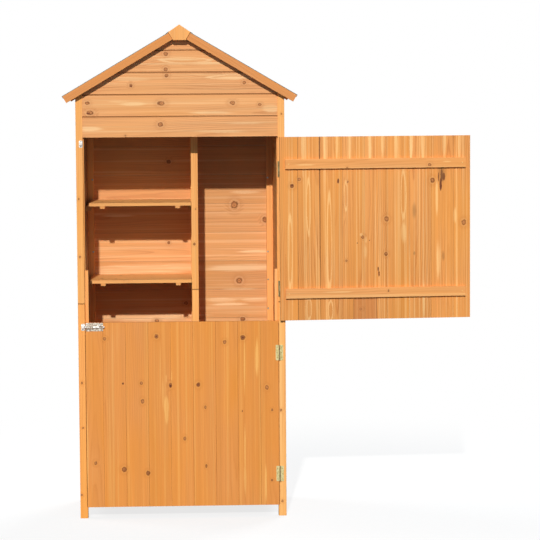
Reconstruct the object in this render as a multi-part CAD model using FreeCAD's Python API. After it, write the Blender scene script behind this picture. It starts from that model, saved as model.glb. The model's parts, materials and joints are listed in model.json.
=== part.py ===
import FreeCAD, Part
import math
import os

from FreeCAD import Vector

# Tall garden cabinet of tongued and grooved boards: two stacked doors, shelves in the left bay,
# a tall bay on the right and a felted apex roof. All sizes are in millimetres.
# The origin is the outer front corner of the left front post's foot. X runs right along the front,
# Y runs back from the front faces of the posts and Z runs up from the ground.
# The upper door stands folded back flat at rest, and the lower door is shut.

# Body
BODY_W = 800.0             # over the posts
BODY_D = 420.0             # over the posts
POST_W = 30.0
POST_D = 38.0
STOP_LAP = 4.0             # front post behind the edges of the doors and the gable
STOP_GAP = 3.5             # between a shut door and the post's shoulder that stops it
REBATE = 15.0              # how far a side wall laps into a post
END_PLAY = 0.3             # side boards short of the rebate's end
FOOT_H = 43.0              # walls and doors above the ground
POST_JOINT_RISE = 71.0     # joint of the two post lengths above the upper door's bottom edge
SPLICE_L = 254.0
SPLICE_T = 11.0
SPLICE_W = 30.0
SPLICE_SETBACK = 1.5       # behind the post's shoulder
ARRIS = 1.0                # eased long edges of battens and posts
JOINT_VEE = 2.0            # bevelled faces where two lengths of a post or stile meet

# Tongued and grooved boards
BOARD_T = 12.0
BOARD_PITCH = 84.2
WALL_PITCH = 115.2         # wider boards of the side and back walls and the divider
MIN_BOARD = 25.0           # a narrower leftover joins its neighbour
SEAM = 0.3                 # open line between neighbouring boards
TONGUE_L = 5.0
TONGUE_T = 4.0
TONGUE_PLAY = 0.3
WALL_VEE = 3.4             # bevel of the joints on walls and gables
DOOR_VEE = 0.6             # finer bevel on the doors, shelves, floor and roof

# Doors
UPPER_DOOR_H = 707.5
LOWER_DOOR_H = 719.0
DOOR_FIRST = 66.6          # ripped board at the free edge
DOOR_PITCH = 86.8
DOOR_GAP = 2.0             # beside each post
DOORS_GAP = 2.5            # between the two doors
HEAD_GAP = 3.0             # between the upper door and the gable
LEDGE_W = 38.0
LEDGE_T = 11.0
LEDGE_MARGIN = 20.0        # short of the door's edges
LEDGE_INSET = 104.0        # ledge's centre line to the door's end
UPPER_DOOR_ANGLE = 184.5   # how far the upper door stands open at rest

# Hinges
HINGE_H = 60.0
HINGE_INSET = 123.0        # hinge's middle to the door's end
KNUCKLES = 3
KNUCKLE_R = 3.0
KNUCKLE_SET = 1.5          # axis from the edge of the post's front face, over the post
KNUCKLE_PLAY = 0.3
LEAF_W = 14.5              # from the axis
LEAF_T = 1.5
LEAF_CORNER = 1.5
PIN_R = 1.5
PIN_PLAY = 0.05

# Barrel bolts
ROD_R = 4.0
ROD_PLAY = 0.3             # in the straps
ROD_LIFT = 0.6             # over the plate
ROD_NOSE = 1.2             # bevel of the rod's tip
THROW = 12.0
PLATE_H = 32.0
PLATE_T = 1.2
PLATE_EDGE = 1.0           # from the door's free edge
PLATE_CORNER = 2.0
LONG_STRAP_W = 26.0        # strap beside the keeper
SHORT_STRAP_W = 9.0        # strap beyond the knob
STRAP_T = 1.5
STRAP_MARGIN = 2.0         # long strap from the plate's end
KNOB_SHOT = 43.0           # knob from the door's free edge when the bolt is shot
KNOB_R = 4.5
KNOB_L = 7.0
KNOB_BEVEL = 1.5
KNOB_REACH = 9.0           # knob's foot from the rod's axis
KNOB_ANGLE = 40.0          # knob tilted up from square to the door
STEM_R = 2.2
STEM_PLAY = 1.8            # between the drawn-back stem and the short strap
TAIL = 2.0                 # rod beyond the short strap when the bolt is shot
KEEPER_W = 13.5
KEEPER_H = 26.0
KEEPER_EDGE = 0.5          # from the edge of the post's front face
KEEPER_EYE_W = 9.0
KEEPER_PLAY = 1.0          # round the rod in the keeper's eye
UPPER_BOLT_DROP = 22.0     # bolt below the upper door's top edge
LOWER_BOLT_DROP = 16.5

# Gables and roof
GABLE_SIDE_H = 171.5       # gable boards at the posts, from the door head to the roof
GABLE_FIRST = 78.0         # ripped lowest board
GABLE_RECESS = 3.0         # behind the faces of the front posts
RAIL_H = 30.0
RAIL_T = 25.0              # head rails and gable rafters
RAFTER_H = 25.0
ROOF_ANGLE = 30.5
EAVE_OVERHANG = 47.5
FRONT_OVERHANG = 28.0
REAR_OVERHANG = 28.0
BARGE_H = 29.0
BARGE_T = 15.0
BARGE_GAP = 0.8            # open joint beside the finial
FINIAL_HALF_W = 42.7
FINIAL_SIDE = 36.0
FINIAL_RISE = 3.0          # shoulders above the roof boards
FINIAL_PEAK = 4.0          # top steeper than the roof by this much at the ridge
FINIAL_PROUD = 5.0         # in front of the bargeboards
FINIAL_BEVEL = 1.5
FELT_T = 2.0
FELT_LIP = 10.0            # turned down over the eave
FELT_GAP = 0.6             # round the finials
RIDGE_STRIP_W = 60.0       # down each slope

# Floor, divider and shelves
BEARER = 28.0
BEARER_W = 30.0
FLOOR_LIFT = 3.0           # bearers above the door's bottom edge
FLOOR_GAP = 4.0            # behind the shut lower door
CORNER_BATTEN_W = 25.0
CORNER_BATTEN_T = 25.0
BAY_W = 411.0              # shelf bay, from the wall to the divider's stiles
STILE = 26.5
STILE_GROOVE = 8.0
STILE_PLAY = 0.2
STILE_JOINT_RISE = 111.0   # joint of the front stile above the upper door's bottom edge
DIVIDER_SETBACK = 126.0
SHELF_SETBACK = 1.0        # behind the divider's front
SHELF_WALL_GAP = 13.0
SHELF_PLAY = 1.0           # at the stile, the back wall and the corner batten
TOP_SHELF_DROP = 259.0     # top shelf's upper face below the door head
SHELF_STEP = 301.5
SHELF_NAMES = ("top", "middle", "bottom")
SHELF_BATTEN_W = 19.0
SHELF_BATTEN_T = 10.0
SHELF_BATTEN_INSET = 52.0  # batten's centre line from the shelf's end
CLEAT = 20.0
CLEAT_SETBACK = 40.0       # behind the shelf's front edge

# Places worked out from the sizes above
MID_X = BODY_W / 2
INNER_W = BODY_W - 2 * POST_W
POST_FACE = POST_W - STOP_LAP
STOP_DEPTH = BOARD_T + STOP_GAP
DOOR_LEFT = POST_FACE + DOOR_GAP
DOOR_W = BODY_W - 2 * DOOR_LEFT
LOWER_Z = FOOT_H
UPPER_Z = LOWER_Z + LOWER_DOOR_H + DOORS_GAP
HEAD_Z = UPPER_Z + UPPER_DOOR_H + HEAD_GAP
POST_JOINT_Z = UPPER_Z + POST_JOINT_RISE
BACK_Y = BODY_D - BOARD_T
CORNER_Y = BACK_Y - CORNER_BATTEN_T
RAIL_Y = GABLE_RECESS + BOARD_T
REAR_RAIL_Y = BACK_Y - RAIL_T
BACK_TOP_Z = HEAD_Z + RAIL_H / 2
HINGE_X = BODY_W - POST_FACE + KNUCKLE_SET
HINGE_Y = -KNUCKLE_R
ROD_Y = -(PLATE_T + ROD_LIFT + ROD_R)
SLOPE = math.radians(ROOF_ANGLE)
WALL_H = HEAD_Z + GABLE_SIDE_H
RIDGE_Z = WALL_H + MID_X * math.tan(SLOPE)
ABOVE_Z = RIDGE_Z + POST_W
EAVE_X = BOARD_T * math.sin(SLOPE) - EAVE_OVERHANG
EAVE_Z = WALL_H + EAVE_X * math.tan(SLOPE)
FINIAL_TOP = BOARD_T + FINIAL_RISE
FINIAL_S = (MID_X - FINIAL_HALF_W - EAVE_X + FINIAL_TOP * math.sin(SLOPE)) / math.cos(SLOPE)
ROOF_FRONT = -FRONT_OVERHANG
ROOF_REAR = BODY_D + REAR_OVERHANG
FLOOR_Z = FOOT_H + FLOOR_LIFT + BEARER
FLOOR_TOP = FLOOR_Z + BOARD_T
FLOOR_FRONT = BOARD_T + FLOOR_GAP
STILE_X = POST_W + BAY_W
DIVIDER_X = STILE_X + (STILE - BOARD_T) / 2
REAR_STILE_Y = BACK_Y - STILE
SHELF_Y = DIVIDER_SETBACK + SHELF_SETBACK

ACROSS = Vector(1, 0, 0)
BACK = Vector(0, 1, 0)
UP = Vector(0, 0, 1)


def box(low, high):
    size = Vector(*high) - Vector(*low)
    return Part.makeBox(size.x, size.y, size.z, Vector(*low))


def bar(low, high):
    """A planed bar between two corners, with its four longest edges eased."""
    solid = box(low, high)
    longest = max(edge.Length for edge in solid.Edges)
    edges = [edge for edge in solid.Edges if edge.Length > longest - ARRIS]
    return solid.makeChamfer(ARRIS, edges)


def prism(points, sweep):
    """The flat outline through the points, swept along a vector."""
    outline = Part.makePolygon(points + points[:1])
    return Part.Face(outline).extrude(sweep)


def joint_vee(x, width, y, z, inwards):
    """The groove between the bevelled ends of two lengths, across the face at y."""
    points = [Vector(x, y, z - JOINT_VEE), Vector(x, y, z) + inwards * JOINT_VEE, Vector(x, y, z + JOINT_VEE)]
    return prism(points, ACROSS * width)


def mirrored(solids):
    """The same pieces on the other side of the cabinet's middle."""
    return [solid.mirror(Vector(MID_X, 0, 0), ACROSS) for solid in solids]


def stations(low, high, first, pitch):
    """Board edges from low to high: a ripped first board, then whole ones."""
    cuts = [low]
    edge = low + first
    while edge < high - MIN_BOARD:
        cuts.append(edge)
        edge += pitch
    return cuts + [high]


def even_stations(low, high, pitch):
    """Board edges from low to high, all of one width near the pitch."""
    count = max(1, round((high - low) / pitch))
    return [low + (high - low) * i / count for i in range(count + 1)]


def board_outline(low, high, vee, groove, tongue):
    """Section of one board as (across, depth) points, from its face inwards."""
    tongue_face = vee + (BOARD_T - vee - TONGUE_T) / 2
    tongue_back = tongue_face + TONGUE_T
    if tongue:
        edge = high - SEAM
        tip = edge + TONGUE_L
        points = [(edge - vee, 0), (edge, vee), (edge, tongue_face), (tip, tongue_face)]
        points += [(tip, tongue_back), (edge, tongue_back), (edge, BOARD_T)]
    else:
        points = [(high, 0), (high, BOARD_T)]
    if groove:
        bottom = low + TONGUE_L - SEAM + TONGUE_PLAY
        points += [(low, BOARD_T), (low, tongue_back + TONGUE_PLAY), (bottom, tongue_back + TONGUE_PLAY)]
        points += [(bottom, tongue_face - TONGUE_PLAY), (low, tongue_face - TONGUE_PLAY)]
        points += [(low, vee), (low + vee, 0)]
    else:
        points += [(low, BOARD_T), (low, 0)]
    return points


def boards(corner, across, depth, sweep, cuts, vee):
    """Boards side by side between the cuts, measured from the corner along across."""
    solids = []
    last = len(cuts) - 2
    for i in range(last + 1):
        outline = board_outline(cuts[i], cuts[i + 1], vee, i > 0, i < last)
        points = [corner + across * a + depth * d for a, d in outline]
        solids.append(prism(points, sweep))
    return solids


def under_roof(drop=0):
    """Everything below the roof boards, or below a plane that many millimetres under them."""
    fall = drop / math.cos(SLOPE)
    outline = [(0, 0), (0, WALL_H - fall), (MID_X, RIDGE_Z - fall), (BODY_W, WALL_H - fall), (BODY_W, 0)]
    return prism([Vector(x, 0, z) for x, z in outline], BACK * BODY_D)


def trimmed(solids, space):
    return [solid.common(space).Solids[0] for solid in solids]


def slope_point(along, height, y=0):
    """A point on the left slope: along it from the eave, and height above the roof boards' underside."""
    x = EAVE_X + along * math.cos(SLOPE) - height * math.sin(SLOPE)
    z = EAVE_Z + along * math.sin(SLOPE) + height * math.cos(SLOPE)
    return Vector(x, y, z)


def ridge_reach(height):
    """Distance along the slope from the eave to the cabinet's middle, at that height."""
    return (MID_X - EAVE_X + height * math.sin(SLOPE)) / math.cos(SLOPE)


def posts():
    """Four posts of two lengths each, rebated for the side walls and, in front, for doors and gable."""
    nodes = {}
    stop = box((POST_FACE, 0, FOOT_H), (POST_W, STOP_DEPTH, RIDGE_Z))
    rear_y = BODY_D - POST_D
    front = ("front", 0, POST_D - REBATE, joint_vee(0, POST_W, 0, POST_JOINT_Z, BACK))
    rear = ("rear", rear_y, rear_y, joint_vee(0, POST_W, BODY_D, POST_JOINT_Z, -BACK))
    for depth, y, rebate_y, groove in (front, rear):
        post = bar((0, y, 0), (POST_W, y + POST_D, RIDGE_Z)).cut(stop).cut(groove)
        post = post.cut(box((POST_W - BOARD_T, rebate_y, FOOT_H), (POST_W, rebate_y + REBATE, RIDGE_Z)))
        lower = post.common(box((0, y, 0), (POST_W, y + POST_D, POST_JOINT_Z)))
        upper = post.cut(lower).common(under_roof())
        for length, solid in (("lower", lower), ("upper", upper)):
            left = solid.Solids[:1]
            nodes[f"post_{depth}_left_{length}"] = left
            nodes[f"post_{depth}_right_{length}"] = mirrored(left)
    splice_y = STOP_DEPTH + SPLICE_SETBACK
    splice_z = POST_JOINT_Z - SPLICE_L / 2
    splice = bar((POST_W, splice_y, splice_z), (POST_W + SPLICE_T, splice_y + SPLICE_W, splice_z + SPLICE_L))
    nodes["post_splice_left"] = [splice]
    nodes["post_splice_right"] = mirrored([splice])
    return nodes


def walls():
    """Side walls in the post rebates, the back wall and its corner battens."""
    nodes = {}
    below = under_roof()
    side_corner = Vector(POST_W - BOARD_T, POST_D - REBATE + END_PLAY, 0)
    side_sweep = BACK * (BODY_D - 2 * side_corner.y)
    side_cuts = stations(FOOT_H, RIDGE_Z, WALL_PITCH, WALL_PITCH)
    side = boards(side_corner, UP, ACROSS, side_sweep, side_cuts, WALL_VEE)
    side = trimmed([solid for solid in side if solid.common(below).Solids], below)
    nodes["side_boards_left"] = side
    nodes["side_boards_right"] = mirrored(side)
    back_cuts = stations(FOOT_H, BACK_TOP_Z, WALL_PITCH, WALL_PITCH)
    back_corner = Vector(POST_W, BODY_D, 0)
    nodes["back_boards"] = boards(back_corner, UP, -BACK, ACROSS * INNER_W, back_cuts, WALL_VEE)
    batten = bar((POST_W, CORNER_Y, FLOOR_TOP), (POST_W + CORNER_BATTEN_W, BACK_Y, RIDGE_Z))
    batten = trimmed([batten], under_roof(RAFTER_H))
    nodes["back_batten_left"] = batten
    nodes["back_batten_right"] = mirrored(batten)
    return nodes


def gables():
    """Level gable boards front and rear, with the rafters and head rails behind them."""
    nodes = {}
    below = under_roof()
    front_cuts = stations(HEAD_Z, RIDGE_Z, GABLE_FIRST, BOARD_PITCH)
    front_corner = Vector(POST_FACE, GABLE_RECESS, 0)
    front_sweep = ACROSS * (BODY_W - 2 * POST_FACE)
    front = boards(front_corner, UP, BACK, front_sweep, front_cuts, WALL_VEE)
    nodes["gable_boards_front"] = trimmed(front, below)
    rear_cuts = stations(BACK_TOP_Z, RIDGE_Z, BOARD_PITCH, BOARD_PITCH)
    rear = boards(Vector(POST_W, BODY_D, 0), UP, -BACK, ACROSS * INNER_W, rear_cuts, WALL_VEE)
    nodes["gable_boards_rear"] = trimmed(rear, below)
    rafter_end = WALL_H + POST_W * math.tan(SLOPE)
    fall = RAFTER_H / math.cos(SLOPE)
    outline = [(POST_W, rafter_end), (MID_X, RIDGE_Z), (MID_X, RIDGE_Z - fall), (POST_W, rafter_end - fall)]
    for depth, y in (("front", RAIL_Y), ("rear", REAR_RAIL_Y)):
        rafter = prism([Vector(x, y, z) for x, z in outline], BACK * RAIL_T)
        nodes[f"gable_rafters_{depth}"] = [rafter] + mirrored([rafter])
    rail_top = HEAD_Z + RAIL_H
    rear_left = POST_W + CORNER_BATTEN_W
    front_rail = bar((POST_W, RAIL_Y, HEAD_Z), (BODY_W - POST_W, RAIL_Y + RAIL_T, rail_top))
    rear_rail = bar((rear_left, REAR_RAIL_Y, HEAD_Z), (BODY_W - rear_left, BACK_Y, rail_top))
    nodes["head_rails"] = [front_rail, rear_rail]
    return nodes


def finial(y, proud):
    """Five-sided block at the ridge, square to both slopes at its sides; proud is where it faces."""
    left = [slope_point(FINIAL_S, FINIAL_TOP, y), slope_point(FINIAL_S, FINIAL_TOP - FINIAL_SIDE, y)]
    right = [Vector(2 * MID_X - point.x, y, point.z) for point in reversed(left)]
    apex = slope_point(ridge_reach(FINIAL_TOP), FINIAL_TOP, y) + UP * FINIAL_PEAK
    solid = prism([apex] + left + right, proud)
    face_y = y + proud.y
    rim = [edge for edge in solid.Edges if all(abs(v.Y - face_y) < FINIAL_BEVEL for v in edge.Vertexes)]
    return solid.makeChamfer(FINIAL_BEVEL, rim)


def roof():
    """Boards from front to rear on both slopes, felt, bargeboards and finials."""
    nodes = {}
    board_front = ROOF_FRONT + BARGE_T
    board_rear = ROOF_REAR - BARGE_T
    depth = board_rear - board_front
    left_half = box((EAVE_X - EAVE_OVERHANG, ROOF_FRONT, 0), (MID_X, ROOF_REAR, ABOVE_Z))
    cuts = even_stations(0, ridge_reach(BOARD_T), BOARD_PITCH)
    along = slope_point(1, 0) - slope_point(0, 0)
    inwards = slope_point(0, 0) - slope_point(0, 1)
    slope = boards(slope_point(0, BOARD_T, board_front), along, inwards, BACK * depth, cuts, DOOR_VEE)
    slope = trimmed(slope, left_half)
    nodes["roof_boards_left"] = slope
    nodes["roof_boards_right"] = mirrored(slope)

    felt_top = BOARD_T + FELT_T
    lip = felt_top - FELT_LIP
    outline = [(-FELT_T, lip), (0, lip), (0, BOARD_T), (ridge_reach(BOARD_T), BOARD_T)]
    outline += [(ridge_reach(felt_top), felt_top), (-FELT_T, felt_top)]
    felt = prism([slope_point(s, h, ROOF_FRONT) for s, h in outline], BACK * (ROOF_REAR - ROOF_FRONT))
    strip_top = felt_top + FELT_T
    strip = [(ridge_reach(felt_top) - RIDGE_STRIP_W, felt_top), (ridge_reach(felt_top), felt_top)]
    strip += [(ridge_reach(strip_top), strip_top), (ridge_reach(strip_top) - RIDGE_STRIP_W, strip_top)]
    strip_front = board_front + FELT_GAP
    ridge_strip = prism([slope_point(s, h, strip_front) for s, h in strip], BACK * (depth - 2 * FELT_GAP))
    notch_x = slope_point(FINIAL_S - FELT_GAP, FINIAL_TOP).x
    for notch_y in (ROOF_FRONT, board_rear - FELT_GAP):
        notch_low = (notch_x, notch_y, EAVE_Z)
        felt = felt.cut(box(notch_low, (MID_X, notch_y + BARGE_T + FELT_GAP, ABOVE_Z)))
    nodes["roof_felt_left"] = [felt.Solids[0]]
    nodes["roof_felt_right"] = mirrored(felt.Solids[:1])
    nodes["roof_ridge_strip"] = [ridge_strip.fuse(mirrored([ridge_strip])[0]).removeSplitter().Solids[0]]

    barge_end = FINIAL_S - BARGE_GAP
    barge_low = BOARD_T - BARGE_H
    barge = [(0, barge_low), (0, BOARD_T), (barge_end, BOARD_T), (barge_end, barge_low)]
    for name, y in (("front", ROOF_FRONT), ("rear", board_rear)):
        solid = prism([slope_point(s, h, y) for s, h in barge], BACK * BARGE_T)
        nodes[f"bargeboard_{name}_left"] = [solid]
        nodes[f"bargeboard_{name}_right"] = mirrored([solid])
    proud = BACK * (BARGE_T + FINIAL_PROUD)
    nodes["finial_front"] = [finial(board_front, -proud)]
    nodes["finial_rear"] = [finial(board_rear, proud)]
    return nodes


def floor():
    """Boards from front to back on two bearers between the side walls."""
    nodes = {}
    depth = BACK_Y - FLOOR_FRONT
    cuts = even_stations(0, INNER_W, BOARD_PITCH)
    corner = Vector(POST_W, FLOOR_FRONT, FLOOR_TOP)
    nodes["floor_boards"] = boards(corner, ACROSS, -UP, BACK * depth, cuts, DOOR_VEE)
    bearers = []
    for y in (FLOOR_FRONT, BACK_Y - BEARER_W):
        bearers.append(bar((POST_W, y, FLOOR_Z - BEARER), (BODY_W - POST_W, y + BEARER_W, FLOOR_Z)))
    nodes["floor_bearers"] = bearers
    return nodes


def divider():
    """Grooved stiles that hold level boards between the two bays, under a top rail."""
    nodes = {}
    joint_z = UPPER_Z + STILE_JOINT_RISE
    groove_low = DIVIDER_X - STILE_PLAY
    groove_high = DIVIDER_X + BOARD_T + STILE_PLAY
    front_back = DIVIDER_SETBACK + STILE
    front_groove = box((groove_low, front_back - STILE_GROOVE, 0), (groove_high, front_back, RIDGE_Z))
    front_groove = front_groove.fuse(joint_vee(STILE_X, STILE, DIVIDER_SETBACK, joint_z, BACK))
    for length, low, high in (("lower", FLOOR_TOP, joint_z), ("upper", joint_z, HEAD_Z)):
        stile = bar((STILE_X, DIVIDER_SETBACK, low), (STILE_X + STILE, front_back, high))
        nodes[f"divider_stile_front_{length}"] = [stile.cut(front_groove).Solids[0]]
    rear = bar((STILE_X, REAR_STILE_Y, FLOOR_TOP), (STILE_X + STILE, BACK_Y, HEAD_Z))
    rear_groove = box((groove_low, REAR_STILE_Y, 0), (groove_high, REAR_STILE_Y + STILE_GROOVE, RIDGE_Z))
    nodes["divider_stile_rear"] = [rear.cut(rear_groove).Solids[0]]
    board_front = front_back - STILE_GROOVE + STILE_PLAY
    length = REAR_STILE_Y + STILE_GROOVE - STILE_PLAY - board_front
    cuts = even_stations(FLOOR_TOP, HEAD_Z, WALL_PITCH)
    corner = Vector(DIVIDER_X, board_front, 0)
    nodes["divider_boards"] = boards(corner, UP, ACROSS, BACK * length, cuts, DOOR_VEE)
    rail_low = (STILE_X, RAIL_Y + RAIL_T, HEAD_Z)
    nodes["divider_top_rail"] = [bar(rail_low, (STILE_X + STILE, REAR_RAIL_Y, HEAD_Z + STILE))]
    return nodes


def shelves():
    """Three boarded shelves in the left bay, on cleats at the wall and at the divider."""
    nodes = {}
    left = POST_W + SHELF_WALL_GAP
    right = STILE_X - SHELF_PLAY
    back = BACK_Y - SHELF_PLAY
    corner_x = POST_W + CORNER_BATTEN_W + SHELF_PLAY
    wall_cleats = []
    divider_cleats = []
    for i, name in enumerate(SHELF_NAMES):
        top = HEAD_Z - TOP_SHELF_DROP - i * SHELF_STEP
        under = top - BOARD_T
        cuts = even_stations(0, back - SHELF_Y, BOARD_PITCH)
        shelf = boards(Vector(left, SHELF_Y, top), BACK, -UP, ACROSS * (right - left), cuts, DOOR_VEE)
        notch = box((left, CORNER_Y - SHELF_PLAY, under), (corner_x, BACK_Y, top))
        nodes[f"shelf_{name}_boards"] = [board.cut(notch).Solids[0] for board in shelf]
        battens = []
        for middle in (left + SHELF_BATTEN_INSET, right - SHELF_BATTEN_INSET):
            low = (middle - SHELF_BATTEN_W / 2, SHELF_Y, under - SHELF_BATTEN_T)
            battens.append(bar(low, (middle + SHELF_BATTEN_W / 2, back, under)))
        nodes[f"shelf_{name}_battens"] = battens
        cleat_y = max(SHELF_Y + CLEAT_SETBACK, DIVIDER_SETBACK + STILE)
        wall_cleats.append(bar((POST_W, cleat_y, under - CLEAT), (POST_W + CLEAT, CORNER_Y, under)))
        cleat_low = (DIVIDER_X - CLEAT, cleat_y, under - CLEAT)
        divider_cleats.append(bar(cleat_low, (DIVIDER_X, REAR_STILE_Y, under)))
    nodes["shelf_cleats_wall"] = wall_cleats
    nodes["shelf_cleats_divider"] = divider_cleats
    return nodes


def door(bottom, height):
    """Upright boards and the two ledges across their inner side, with the door shut."""
    cuts = stations(0, DOOR_W, DOOR_FIRST, DOOR_PITCH)
    panel = boards(Vector(DOOR_LEFT, 0, bottom), ACROSS, BACK, UP * height, cuts, DOOR_VEE)
    ledges = []
    for middle in (bottom + LEDGE_INSET, bottom + height - LEDGE_INSET):
        low = (DOOR_LEFT + LEDGE_MARGIN, BOARD_T, middle - LEDGE_W / 2)
        high = (DOOR_LEFT + DOOR_W - LEDGE_MARGIN, BOARD_T + LEDGE_T, middle + LEDGE_W / 2)
        ledges.append(bar(low, high))
    return panel, ledges


def knuckle_tube(radius, low, high):
    return Part.makeCylinder(radius, high - low, Vector(HINGE_X, HINGE_Y, low))


def hinge_leaf(bottom, side, own):
    """A leaf on the wood's face, to the side (-1 or 1) of the axis, rolled into every second knuckle."""
    near = HINGE_X
    far = HINGE_X + side * LEAF_W
    plate = box((min(near, far), -LEAF_T, bottom), (max(near, far), 0, bottom + HINGE_H))
    short = [edge for edge in plate.Edges if edge.Length < 2 * LEAF_T]
    leaf = plate.makeChamfer(LEAF_CORNER, [edge for edge in short if abs(edge.CenterOfMass.x - far) < LEAF_T])
    step = HINGE_H / KNUCKLES
    reach = KNUCKLE_R + KNUCKLE_PLAY
    for i in range(KNUCKLES):
        low = bottom + i * step
        if i % 2 == own:
            leaf = leaf.fuse(knuckle_tube(KNUCKLE_R, low, low + step))
        else:
            notch_low = (HINGE_X - reach, HINGE_Y - reach, max(low - KNUCKLE_PLAY, bottom))
            notch_high = (HINGE_X + reach, LEAF_T, min(low + step + KNUCKLE_PLAY, bottom + HINGE_H))
            leaf = leaf.cut(box(notch_low, notch_high))
    leaf = leaf.cut(knuckle_tube(PIN_R + PIN_PLAY, bottom, bottom + HINGE_H))
    return leaf.removeSplitter().Solids[0]


def hinges(door_bottom, door_height):
    """Post leaves, door leaves and pins of a shut door's two butt hinges."""
    post_leaves = []
    door_leaves = []
    pins = []
    for middle in (door_bottom + HINGE_INSET, door_bottom + door_height - HINGE_INSET):
        bottom = middle - HINGE_H / 2
        post_leaves.append(hinge_leaf(bottom, 1, 0))
        door_leaves.append(hinge_leaf(bottom, -1, 1))
        pins.append(knuckle_tube(PIN_R, bottom, bottom + HINGE_H))
    return post_leaves, door_leaves, pins


def arch(x, width, z, radius):
    """A strap's outer form over the rod: half an octagon on straight legs down to the plate."""
    bevel = radius * math.tan(math.pi / 8)
    half = [(-PLATE_T / 2, radius), (ROD_Y - bevel, radius), (ROD_Y - radius, bevel)]
    outline = half + [(y, -rise) for y, rise in reversed(half)]
    return prism([Vector(x, y, z + rise) for y, rise in outline], ACROSS * width)


def strap_plate(x, length, height, z, straps, play):
    """A plate with clipped corners and pressed straps (start, width) that leave the play round the rod."""
    plate = box((x, -PLATE_T, z - height / 2), (x + length, 0, z + height / 2))
    corners = [edge for edge in plate.Edges if edge.Length < 2 * PLATE_T]
    solid = plate.makeChamfer(PLATE_CORNER, corners)
    tunnel = ROD_R + play
    passage = arch(x, length, z, tunnel).cut(plate)
    for start, width in straps:
        solid = solid.fuse(arch(start, width, z, tunnel + STRAP_T))
    return solid.cut(passage).removeSplitter().Solids[0]


def turned(radius, length, foot, axis, bevel):
    """A round bar from its foot along the axis, with the far end bevelled."""
    solid = Part.makeCylinder(radius, length, foot, axis)
    rims = [edge for edge in solid.Edges if len(edge.Vertexes) == 1]
    return solid.makeChamfer(bevel, [max(rims, key=lambda rim: rim.CenterOfMass.dot(axis))])


def bolt(z):
    """Barrel, sliding rod and keeper of a barrel bolt at height z, drawn back, with the door shut."""
    knob_x = DOOR_LEFT + KNOB_SHOT + THROW
    plate_x = DOOR_LEFT + PLATE_EDGE
    short_x = knob_x + STEM_R + STEM_PLAY
    length = short_x + SHORT_STRAP_W - plate_x
    straps = ((plate_x + STRAP_MARGIN, LONG_STRAP_W), (short_x, SHORT_STRAP_W))
    barrel = strap_plate(plate_x, length, PLATE_H, z, straps, ROD_PLAY)
    keeper_x = POST_FACE - KEEPER_EDGE - KEEPER_W
    eye_x = keeper_x + (KEEPER_W - KEEPER_EYE_W) / 2
    keeper = strap_plate(keeper_x, KEEPER_W, KEEPER_H, z, ((eye_x, KEEPER_EYE_W),), KEEPER_PLAY)
    tip = POST_FACE + DOOR_GAP / 2
    tail = short_x + THROW + TAIL
    rod = turned(ROD_R, tail - tip, Vector(tail, ROD_Y, z), -ACROSS, ROD_NOSE)
    tilt = math.radians(KNOB_ANGLE)
    outwards = Vector(0, -math.cos(tilt), math.sin(tilt))
    axis = Vector(knob_x, ROD_Y, z)
    rod = rod.fuse(Part.makeCylinder(STEM_R, KNOB_REACH, axis, outwards))
    knob = turned(KNOB_R, KNOB_L, axis + outwards * KNOB_REACH, outwards, KNOB_BEVEL)
    return barrel, rod.fuse(knob).removeSplitter().Solids[0], keeper


def swung(solids):
    """A shut door's pieces, turned about the hinge axis to where the upper door stands."""
    return [solid.rotated(Vector(HINGE_X, HINGE_Y, 0), UP, UPPER_DOOR_ANGLE) for solid in solids]


def doors():
    """Both doors with their hinges and bolts: the lower one shut, the upper one folded back."""
    nodes = {"hinge_post_leaves": [], "hinge_pins": [], "bolt_keepers": []}
    upper = ("upper", UPPER_Z, UPPER_DOOR_H, UPPER_BOLT_DROP)
    lower = ("lower", LOWER_Z, LOWER_DOOR_H, LOWER_BOLT_DROP)
    for name, bottom, height, drop in (upper, lower):
        panel, ledges = door(bottom, height)
        post_leaves, door_leaves, pins = hinges(bottom, height)
        barrel, rod, keeper = bolt(bottom + height - drop)
        moving = {"door_boards": panel, "door_ledges": ledges, "hinge_door_leaves": door_leaves}
        moving.update({"bolt_barrel": [barrel], "bolt_rod": [rod]})
        for part, solids in moving.items():
            nodes[f"{name}_{part}"] = swung(solids) if name == "upper" else solids
        nodes["hinge_post_leaves"] += post_leaves
        nodes["hinge_pins"] += pins
        nodes["bolt_keepers"].append(keeper)
    return nodes


def main():
    os.makedirs("parts", exist_ok=True)
    nodes = {}
    for section in (posts, walls, gables, roof, floor, divider, shelves, doors):
        nodes.update(section())
    for name, solids in nodes.items():
        shape = solids[0] if len(solids) == 1 else Part.makeCompound(solids)
        shape.exportStep(f"parts/{name}.step")
    whole = Part.makeCompound([solid for solids in nodes.values() for solid in solids]).BoundBox
    print(f"{len(nodes)} nodes, {whole.XLength:.1f} x {whole.YLength:.1f} x {whole.ZLength:.1f} mm")


main()
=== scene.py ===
"""Looks of the two-door garden cabinet: stained softwood, felt, zinc fittings and fasteners.

Everything is in metres, in the frame of the CAD: X right, Y back, Z up, and the front faces -Y.
Only the marks drawn on the wood, such as knots, are listed in millimetres.
"""

import json
import math
import random

import bmesh
import bpy
from mathutils import Matrix, Vector

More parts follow.
